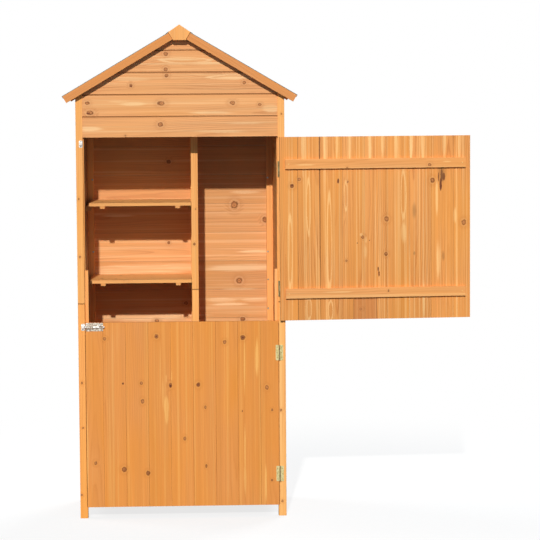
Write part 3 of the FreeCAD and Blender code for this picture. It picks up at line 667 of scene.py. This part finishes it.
def ledge_wood():
    knots = [(1362, 1360, 6, 6), (1040, 1353, 3, 3), (1200, 874, 3, 4)]
    flames = [(880, 1365, 40, 3), (1000, 872, 50, 3), (1430, 1372, 20, 3)]
    return wood("ledge_wood", (240, 166, 97), (212, 136, 72), (252, 196, 128), knots, flames,
                contrast=0.7, streaks=0.45)


def barge_wood():
    return wood("barge_wood", (224, 149, 86), (190, 114, 56), (240, 172, 108), contrast=0.6)


def board_wood():
    return wood("board_wood", (238, 166, 96), (206, 128, 62), (250, 196, 130), scattered=SCATTERED)


# A darker copy of the wood for the cabinet's inside: painted shade.
def shaded_inner_wood():
    return wood("shaded_inner_wood", (158, 110, 70), (132, 88, 54), (180, 132, 90), scattered=SCATTERED)


def shelf_wood():
    return wood("shelf_wood", (246, 177, 104), (218, 140, 72), (253, 200, 132),
                scattered=SCATTERED, contrast=0.6)


# Felt and metal

GRANULE_SCALE = 620.0
GRANULES = ((0.0, tone(84, 88, 84)), (0.55, tone(122, 126, 120)), (1.0, tone(166, 168, 158)))
WORN_FELT = tone(78, 80, 76)
WORN_WAVES = (7.0, 7.0, 7.0)
WORN_STEP = (0.42, 0.68, 0.0, 0.4)
FELT_ROUGHNESS = 0.84
WORN_ROUGHNESS = 0.12
FELT_SPECULAR = 0.25
FELT_BUMP = 0.6 * MM

DULL_WAVES = (140.0, 140.0, 90.0)
DULL_STEP = (0.35, 0.65)
BRUSHING_WAVES = (180.0, 1500.0, 1500.0)
SPECK = tone(120, 112, 96)
SPECK_WAVES = (900.0, 900.0, 900.0)
SPECK_STEP = (0.68, 0.76, 0.0, 0.5)
# painted shade: a dark line along the hinge knuckles
HINGE_AXIS_SHADE = tone(86, 56, 32)
HINGE_SHADE_REACH = 1.7 * MM           # from the hinge axis
HINGE_SHADE_INNER = 0.6                # share of the reach that is darkest
HINGE_SHADE_SHARE = 0.95
ZINC_METALLIC = 0.5
ZINC_ROUGHNESS = 0.22
DULL_ROUGHNESS = 0.22
BRUSHING_ROUGHNESS = 0.12
ZINC_BUMP = 0.04 * MM
ZINC_TONES = {                         # where bright and where dull
    "plate_zinc": ((222, 214, 200), (148, 130, 112)),
    "rod_zinc": ((240, 240, 238), (210, 208, 202)),
    "hinge_zinc": ((214, 202, 150), (186, 172, 112)),
    "screw_zinc": ((206, 202, 190), (168, 160, 142)),
    "leaf_screw_zinc": ((206, 194, 142), (172, 158, 104)),
    "yellow_zinc": ((250, 218, 150), (226, 184, 112)),
    "nail_steel": ((150, 150, 146), (118, 116, 110)),
}


def felt():
    """Bitumen felt with pressed-in mineral granules."""
    shader = Shader("mineral_felt")
    place = shader.place()
    grains = shader.add("ShaderNodeTexVoronoi", {"Vector": place, "Scale": GRANULE_SCALE})
    speck = shader.split(grains.outputs["Color"])[0]
    patches = shader.noise(place, WORN_WAVES, detail=4.0)
    colour = shader.mix(shader.step(patches, *WORN_STEP), shader.ramp(speck, GRANULES), WORN_FELT)
    height = shader.math("SUBTRACT", 1.0, grains.outputs["Distance"])
    roughness = shader.math("MULTIPLY_ADD", patches, WORN_ROUGHNESS, FELT_ROUGHNESS)
    shader.surface.inputs["Specular IOR Level"].default_value = FELT_SPECULAR
    return shader.finish(colour, roughness, height, FELT_BUMP)


def zinc(name, shade_reach=0.0):
    """Zinc-plated steel: drawn brushing, dull patches, small specks, and a painted shade line along the
    hinge axis.
    """
    bright, dull = (tone(*colour) for colour in ZINC_TONES[name])
    shader = Shader(name)
    place = shader.place()
    patches = shader.noise(place, DULL_WAVES, detail=3.0)
    brushing = shader.noise(place, BRUSHING_WAVES, detail=2.0)
    specks = shader.step(shader.noise(place, SPECK_WAVES), *SPECK_STEP)
    colour = shader.mix(shader.step(patches, *DULL_STEP), bright, dull)
    colour = shader.mix(specks, colour, SPECK)
    if shade_reach:
        # painted shade along the hinge axis
        aside = shader.gap(shader.split(place)[0], hinge_axis().x)
        shade_and_dirt = shader.step(aside, shade_reach, shade_reach * HINGE_SHADE_INNER, 0.0, HINGE_SHADE_SHARE)
        colour = shader.mix(shade_and_dirt, colour, HINGE_AXIS_SHADE)
    brushed = shader.math("MULTIPLY_ADD", brushing, BRUSHING_ROUGHNESS, ZINC_ROUGHNESS)
    roughness = shader.math("MULTIPLY_ADD", patches, DULL_ROUGHNESS, brushed)
    shader.surface.inputs["Metallic"].default_value = ZINC_METALLIC
    return shader.finish(colour, roughness, brushing, ZINC_BUMP)


# Meshes of the CAD nodes

def islands(bm):
    """The separate solids of a mesh, each as the list of its faces."""
    left = set(bm.faces)
    found = []
    for face in bm.faces:
        if face not in left:
            continue
        left.discard(face)
        group = [face]
        for member in group:
            for edge in member.edges:
                fresh = [other for other in edge.link_faces if other in left]
                left.difference_update(fresh)
                group.extend(fresh)
        found.append(group)
    return found


def welded(node):
    """A mesh of a CAD node with its faces joined up and its flat faces whole."""
    bm = bmesh.new()
    bm.from_mesh(frame["nodes"][node].data)
    bmesh.ops.remove_doubles(bm, verts=bm.verts[:], dist=WELD)
    bmesh.ops.dissolve_limit(bm, angle_limit=FLAT, verts=bm.verts[:], edges=bm.edges[:])
    return bm


def solids_of(node):
    """Boxes of a CAD node's separate solids, as pairs of corners."""
    bm = welded(node)
    boxes = []
    for faces in islands(bm):
        points = [vert.co for face in faces for vert in face.verts]
        low = Vector([min(point[i] for point in points) for i in range(3)])
        high = Vector([max(point[i] for point in points) for i in range(3)])
        boxes.append((low, high))
    bm.free()
    return boxes


def placed(name, data):
    """A new object in the scene."""
    piece = bpy.data.objects.new(name, data)
    bpy.context.scene.collection.objects.link(piece)
    return piece


def meshed(bm, name, material):
    """Makes a mesh into an object with its material."""
    mesh = bpy.data.meshes.new(name)
    bm.to_mesh(mesh)
    bm.free()
    mesh.materials.append(material)
    return placed(name, mesh)


def settle(bm, name, material, body):
    """Makes a mesh into a piece that rides on a body."""
    piece = meshed(bm, name, material)
    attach(piece, body)
    return piece


# Wooden pieces: the CAD solids with eased arrises and a grain of their own for each board

def ease(bm):
    """Rounds the sharp edges over a little."""
    sharp = [edge for edge in bm.edges if len(edge.link_faces) == 2 and edge.calc_face_angle() > SHARP]
    bmesh.ops.bevel(bm, geom=sharp, offset=WOOD_EASED, segments=EASE_STEPS, profile=WOOD_EASE_SHAPE,
                    affect="EDGES", clamp_overlap=True)


def positive(direction):
    """A direction or its opposite, whichever points more towards positive X, Y and Z."""
    return direction if sum(direction) > 0 else -direction


def board_axes(faces, upright):
    """Directions along, across and through a board: along its longest edge, through its largest face."""
    through = positive(max(faces, key=lambda face: face.calc_area()).normal)
    edges = [edge for face in faces for edge in face.edges]
    longest = max(edges, key=lambda edge: edge.calc_length())
    along = UP if upright else positive(longest.verts[1].co - longest.verts[0].co)
    along = (along - through * along.dot(through)).normalized()
    return along, through.cross(along), through.copy()


def reach_of(verts, axes):
    """The lowest and highest values of some vertices along each of the axes."""
    spans = [[vert.co.dot(axis) for vert in verts] for axis in axes]
    return [(min(span), max(span)) for span in spans]


def joint_shade_and_dirt(face, axes, box, others):
    """How dark a face is painted: the deeper it lies in the joint with a neighbouring board, the darker,
    partly dirt and partly painted shade.
    """
    centre = face.calc_center_median()
    values = [centre.dot(axis) for axis in axes]
    sunk = min(values[2] - box[2][0], box[2][1] - values[2])
    if sunk < JOINT_START:
        return 0.0
    for other in others:
        if all(low - JOINT_REACH < value < high + JOINT_REACH for value, (low, high) in zip(values, other)):
            return min(1.0, sunk / JOINT_DARK)
    return 0.0


def add_grain(bm, seed, upright, jointed):
    """Gives every board its own coordinates, chances, half width, end grain, and the painted shade and dirt
    of its joints and bevels.
    """
    grain = bm.verts.layers.float_vector.new("grain")
    board = bm.verts.layers.float_color.new("board")
    surface = bm.loops.layers.float_vector.new("surface")
    draw = random.Random(seed)
    groups = islands(bm)
    corners = [{vert for face in faces for vert in face.verts} for faces in groups]
    for faces, verts in zip(groups, corners):
        axes = board_axes(faces, upright)
        box = reach_of(verts, axes)
        others = [reach_of(rest, axes) for rest in corners if rest is not verts]
        middle = [(low + high) / 2 for low, high in box]
        chances = (draw.random(), draw.random(), draw.random(), (box[1][1] - box[1][0]) / 2)
        for vert in verts:
            vert[grain] = [vert.co.dot(axis) - centre for axis, centre in zip(axes, middle)]
            vert[board] = chances
        for face in faces:
            slant = abs(face.normal.dot(axes[0]))
            end_grain = 1.0 if slant > END_GRAIN else 0.0
            shade_and_dirt = 0.0 if end_grain else joint_shade_and_dirt(face, axes, box, others)
            # painted shade in the V where two lengths of a piece meet
            if jointed and SLANT < slant < END_GRAIN:
                shade_and_dirt = SLANT_SHADE
            for loop in face.loops:
                loop[surface] = (end_grain, shade_and_dirt, 0.0)


def shrink_boards(bm):
    """Opens the seams that the photo shows: the board on the left of each has shrunk a little."""
    for faces in islands(bm):
        verts = {vert for face in faces for vert in face.verts}
        edge = max(vert.co.x for vert in verts)
        low = min(vert.co.z for vert in verts)
        high = max(vert.co.z for vert in verts)
        for seam_x, top, bottom in OPEN_SEAMS:
            if abs(edge - seam_x) > SEAM_REACH:
                continue
            for vert in verts:
                share = (vert.co.z - low) / (high - low)
                if vert.co.x > edge - SEAM_REACH:
                    vert.co.x -= bottom + (top - bottom) * share


def wooden(node, material):
    """The finished timber that stands for a CAD node."""
    bm = welded(node)
    ease(bm)
    if node == "upper_door_boards":
        shrink_boards(bm)
    add_grain(bm, node, upright=node.startswith("finial"), jointed=node.startswith(JOINTED))
    piece = settle(bm, node + "_timber", material, frame["nodes"][node]["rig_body"])
    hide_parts(node)
    return piece


def paint_inside_shade(piece, material, inwards):
    """Gives the faces that look into the cabinet the darker wood, as painted shade of the cabinet's inside.
    """
    piece.data.materials.append(material)
    for face in piece.data.polygons:
        if face.normal.dot(inwards) > FACING:
            face.material_index = 1


def timber():
    """Dresses every wooden node in the finish of its own name's start, or else in that of its slot."""
    inner = shaded_inner_wood()
    finishes = {
        "upper_door_boards": upper_door_wood(),
        "lower_door_boards": lower_door_wood(),
        "gable_boards_front": gable_wood(),
        "back_boards": back_wall_wood(),
        "post_front_left_lower": left_foot_wood(),
        "post_front": post_wood(),
        "bargeboard": barge_wood(),
        "upper_door_ledges": ledge_wood(),
        "divider_stile_front": stile_wood(),
        # pieces inside the cabinet are in the darker wood, as painted shade
        "divider_boards": inner,
        "head_rails": inner,
        "gable_rafters": inner,
        "shelf": shelf_wood(),
        "board_wood": board_wood(),
        "frame_wood": frame_wood(),
    }
    for node in sorted(frame["nodes"]):
        slot = slot_of(node)
        if slot in finishes:
            own = [start for start in finishes if node.startswith(start)]
            piece = wooden(node, finishes[own[0] if own else slot])
            if node in SHADED_INNER_FACES:
                paint_inside_shade(piece, inner, SHADED_INNER_FACES[node])


# Metal and felt stay as the CAD has them, with eased edges

def coat(node, material, eased):
    """A CAD node in its finish, with its edges rounded by a modifier."""
    piece = frame["nodes"][node]
    piece.data.materials.clear()
    piece.data.materials.append(material)
    weld = piece.modifiers.new("weld", "WELD")
    weld.merge_threshold = WELD
    bevel = piece.modifiers.new("eased", "BEVEL")
    bevel.width = eased
    bevel.segments = EASE_STEPS
    bevel.limit_method = "ANGLE"
    bevel.angle_limit = SHARP


def fittings():
    leaf = zinc("hinge_zinc", HINGE_SHADE_REACH)
    plate = zinc("plate_zinc")
    rod = zinc("rod_zinc")
    covering = felt()
    for node in ("hinge_post_leaves", "hinge_pins", "upper_hinge_door_leaves", "lower_hinge_door_leaves"):
        coat(node, leaf, LEAF_EASED)
    for node in ("upper_bolt_barrel", "lower_bolt_barrel"):
        coat(node, plate, BOLT_EASED)
    for node in ("bolt_keepers", "upper_bolt_rod", "lower_bolt_rod"):
        coat(node, rod, BOLT_EASED)
    for node in ("roof_felt_left", "roof_felt_right", "roof_ridge_strip"):
        coat(node, covering, FELT_EASED)


# Fasteners

def turned(bm, rows, place, outwards):
    """Joins rows of points, given as seen from above, into a closed head that stands on a face."""
    stand = Matrix.Translation(place) @ outwards.to_track_quat("Z", "Y").to_matrix().to_4x4()
    rings = [[bm.verts.new(stand @ Vector(point)) for point in row] for row in rows]
    for lower, upper in zip(rings, rings[1:]):
        for k in range(len(lower)):
            after = (k + 1) % len(lower)
            bm.faces.new((lower[k], lower[after], upper[after], upper[k]))
    bm.faces.new(rings[-1])
    bm.faces.new(reversed(rings[0]))


def circle(radius, height, sides):
    """Points round a circle, the first one half a step before the X axis."""
    angles = [math.tau * (k - 0.5) / sides for k in range(sides)]
    return [(radius * math.cos(angle), radius * math.sin(angle), height) for angle in angles]


def add_screw(bm, place, outwards, radius):
    """A domed screw head with a sunk cross, standing on a face."""
    height = radius * SCREW_HEIGHT
    arm = radius * CROSS_ARM
    half = radius * CROSS_HALF
    rows = [circle(radius * share, height * rise, SCREW_SIDES) for share, rise in SCREW_PROFILE]
    corner = ((arm, -half), (arm, half), (half, half))
    quarters = ((1, 0), (0, 1), (-1, 0), (0, -1))
    cross = [(x * c - y * s, x * s + y * c) for c, s in quarters for x, y in corner]
    rows.append([(x, y, height) for x, y in cross])
    rows.append([(x, y, height * CROSS_FLOOR) for x, y in cross])
    turned(bm, rows, place, outwards)


def add_nail(bm, place, outwards, radius):
    """A flat nail head with a rounded rim, slightly proud of a face."""
    rows = [circle(radius * share, radius * rise, NAIL_SIDES) for share, rise in NAIL_PROFILE]
    turned(bm, rows, place, outwards)


def opened():
    """The turn from a shut door to where the upper door stands."""
    axis = hinge_axis()
    shut = joint_named("upper_door_hinge")["range_deg"][0]
    turn = Matrix.Rotation(math.radians(-shut), 4, "Z")
    return Matrix.Translation(axis) @ turn @ Matrix.Translation(-axis)


def set_screws(name, places, outwards, radius, material, body, move=Matrix.Identity(4)):
    """A group of screws in one piece."""
    bm = bmesh.new()
    for place in places:
        add_screw(bm, move @ Vector(place), move.to_3x3() @ outwards, radius)
    settle(bm, name, material, body)


def set_nails(name, places, radius, material):
    """A group of nails in the cabinet, each a place and the way its head faces."""
    bm = bmesh.new()
    for place, outwards in places:
        add_nail(bm, place, outwards, radius)
    settle(bm, name, material, "cabinet")


def set_in(low, high, inset):
    return (low + inset, high - inset)


def leaf_heights(node):
    """Heights of the three screws in each leaf of a node."""
    steps = (-LEAF_SCREW_PITCH, 0, LEAF_SCREW_PITCH)
    return [(low.z + high.z) / 2 + step for low, high in solids_of(node) for step in steps]


def door_screws(metal, leaf_metal, brass):
    """Screws of the hinge leaves, the bolt's plate and the ledges of both doors."""
    leaf_low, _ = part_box("lower_hinge_door_leaves")
    leaf_x = leaf_low.x + LEAF_SCREW_INSET
    plate_low, plate_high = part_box("lower_bolt_barrel")
    plate_xs = set_in(plate_low.x, plate_high.x, PLATE_SCREW_INSET)
    ledge_low, ledge_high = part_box("lower_door_ledges")
    ledge_xs = set_in(ledge_low.x, ledge_high.x, LEDGE_SCREW_INSET)
    for name, move in (("upper", opened()), ("lower", Matrix.Identity(4))):
        body = name + "_door"
        places = [(leaf_x, LEAF_FACE, z) for z in leaf_heights(name + "_hinge_door_leaves")]
        set_screws(name + "_door_hinge_screws", places, FRONT, SCREW_R, leaf_metal, body, move)
        low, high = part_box(name + "_bolt_barrel")
        heights = set_in(low.z, high.z, PLATE_SCREW_INSET)
        places = [(x, PLATE_FACE, z) for x in plate_xs for z in heights]
        set_screws(name + "_bolt_screws", places, FRONT, SMALL_SCREW_R, metal, body, move)
        heights = [(low.z + high.z) / 2 for low, high in solids_of(name + "_door_ledges")]
        places = [(x, ledge_high.y, z) for x in ledge_xs for z in heights]
        set_screws(name + "_ledge_screws", places, REAR, SCREW_R, brass, body, move)


def cabinet_screws(metal, leaf_metal):
    """Screws of the post leaves, the keepers and the rear corner battens."""
    _, leaf_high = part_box("hinge_post_leaves")
    places = [(leaf_high.x - LEAF_SCREW_INSET, LEAF_FACE, z) for z in leaf_heights("hinge_post_leaves")]
    set_screws("post_hinge_screws", places, FRONT, SCREW_R, leaf_metal, "cabinet")
    places = []
    for low, high in solids_of("bolt_keepers"):
        for z in set_in(low.z, high.z, KEEPER_SCREW_INSET):
            places.append(((low.x + high.x) / 2, PLATE_FACE, z))
    set_screws("keeper_screws", places, FRONT, SMALL_SCREW_R, metal, "cabinet")
    for side, heights in BATTEN_SCREW_HEIGHTS:
        low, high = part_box("back_batten_" + side)
        inner = high.x - BATTEN_SCREW_INSET if side == "left" else low.x + BATTEN_SCREW_INSET
        places = [(inner, low.y, z) for z in heights]
        set_screws(f"batten_screws_{side}", places, FRONT, LARGE_SCREW_R, metal, "cabinet")


def back_nails(steel):
    """Two nails at each end of every back board, into the corner battens."""
    places = []
    left_low, left_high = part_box("back_batten_left")
    right_low, right_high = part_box("back_batten_right")
    for low, high in solids_of("back_boards"):
        for x in ((left_low.x + left_high.x) / 2, (right_low.x + right_high.x) / 2):
            for share in NAIL_HEIGHTS:
                places.append((Vector((x, high.y, low.z + (high.z - low.z) * share)), REAR))
    set_nails("back_nails", places, NAIL_R, steel)


def clout_row(start, end, inset, outwards):
    """Nails along an edge of the felt, set in from it and from its ends."""
    run = end - start
    count = max(2, round((run.length - 2 * CLOUT_INSET) / CLOUT_PITCH) + 1)
    first = start + run.normalized() * CLOUT_INSET + inset
    last = end - run.normalized() * CLOUT_INSET + inset
    return [(first.lerp(last, k / (count - 1)), outwards) for k in range(count)]


def felt_nails(steel):
    """Clout nails along the eaves and along both edges of the ridge strip."""
    places = []
    for node in ("roof_felt_left", "roof_felt_right", "roof_ridge_strip"):
        bm = welded(node)
        largest = max(face.calc_area() for face in bm.faces)
        for face in bm.faces:
            if face.normal.z < FACING or face.calc_area() < largest / 2:
                continue
            eave = min(face.edges, key=lambda edge: edge.verts[0].co.z + edge.verts[1].co.z)
            start, end = sorted((vert.co.copy() for vert in eave.verts), key=lambda point: point.y)
            uphill = face.normal.cross(start - end).normalized()
            uphill = uphill if uphill.z > 0 else -uphill
            places += clout_row(start, end, uphill * CLOUT_INSET, face.normal.copy())
        bm.free()
    set_nails("felt_nails", places, CLOUT_R, steel)


def fasteners():
    metal = zinc("screw_zinc")
    steel = zinc("nail_steel")
    leaf_metal = zinc("leaf_screw_zinc")
    door_screws(metal, leaf_metal, zinc("yellow_zinc"))
    cabinet_screws(metal, leaf_metal)
    back_nails(steel)
    felt_nails(steel)


# Stage

def sun(name, travel, strength, spread, colour):
    lamp = bpy.data.lights.new(name, "SUN")
    lamp.color = colour
    lamp.energy = strength
    lamp.angle = math.radians(spread)
    placed(name, lamp).rotation_euler = Vector(travel).to_track_quat("-Z", "Y").to_euler()


def seen_rays(nodes):
    """1 for rays of the camera, of gloss and of glass, 0 for the rays that light the object."""
    rays = nodes.add("ShaderNodeLightPath").outputs
    seen = nodes.math("MAXIMUM", rays["Is Camera Ray"], rays["Is Glossy Ray"])
    return nodes.math("MAXIMUM", seen, rays["Is Transmission Ray"])


def sky():
    """A weak even light, shown as plain white."""
    world = bpy.data.worlds.new("studio")
    world.use_nodes = True
    nodes = Nodes(world.node_tree)
    light = nodes.add("ShaderNodeBackground", {"Color": SKY_COLOUR, "Strength": SKY_STRENGTH})
    white = nodes.add("ShaderNodeBackground", {"Color": grey(1.0), "Strength": 1.0})
    shown = nodes.blend(seen_rays(nodes), light.outputs["Background"], white.outputs["Background"])
    nodes.add("ShaderNodeOutputWorld", {"Surface": shown})
    bpy.context.scene.world = world


def floor_paper():
    """Pale paper that runs out into white, keeps the object's shadow and throws little light back."""
    shader = Shader("floor_paper")
    seen = seen_rays(shader)
    paper = shader.noise(shader.place(), PAPER_WAVES, detail=4.0)
    pale = shader.ramp(paper, [(position, grey(value)) for position, value in PAPER_TONES])
    shader.feed(shader.surface.inputs["Base Color"], shader.mix(seen, grey(FLOOR_BOUNCE), pale))
    shader.surface.inputs["Roughness"].default_value = FLOOR_ROUGHNESS
    shader.surface.inputs["Specular IOR Level"].default_value = 0.0
    white = shader.add("ShaderNodeEmission", {"Color": grey(1.0), "Strength": 1.0})
    away = shader.step(shader.length(shader.place()), *FLOOR_FADE, FLOOR_WHITE, 1.0)
    share = shader.math("MULTIPLY", away, seen)
    shown = shader.blend(share, shader.surface.outputs["BSDF"], white.outputs["Emission"])
    shader.feed(shader.output.inputs["Surface"], shown)
    return shader.material


def floor():
    bm = bmesh.new()
    bmesh.ops.create_circle(bm, cap_ends=True, segments=FLOOR_SIDES, radius=FLOOR_RADIUS)
    piece = meshed(bm, "floor", floor_paper())
    middle = (cad_box[0] + cad_box[1]) / 2
    piece.location = (middle.x, middle.y, cad_box[0].z)


def camera():
    yaw, pitch, roll = (math.radians(angle) for angle in (CAMERA_YAW, CAMERA_PITCH, CAMERA_ROLL))
    ahead = Vector((math.sin(yaw) * math.cos(pitch), math.cos(yaw) * math.cos(pitch), -math.sin(pitch)))
    right = Vector((math.cos(yaw), -math.sin(yaw), 0))
    upwards = right.cross(ahead)
    side = right * math.cos(roll) + upwards * math.sin(roll)
    top = upwards * math.cos(roll) - right * math.sin(roll)
    data = bpy.data.cameras.new("camera")
    data.lens = CAMERA_LENS
    data.sensor_width = SENSOR
    piece = placed("camera", data)
    turn = Matrix((side, top, -ahead)).transposed().to_4x4()
    piece.matrix_world = Matrix.Translation(CAMERA_PLACE) @ turn
    bpy.context.scene.camera = piece


def stage():
    camera()
    sky()
    floor()
    sun("key", KEY_TRAVEL, KEY_STRENGTH, KEY_SPREAD, KEY_COLOUR)
    for number, (travel, strength) in enumerate(FILLS):
        sun(f"fill_{number}", travel, strength, FILL_SPREAD, FILL_COLOUR)
    bpy.context.scene.view_settings.view_transform = "Standard"


timber()
fittings()
fasteners()
stage()
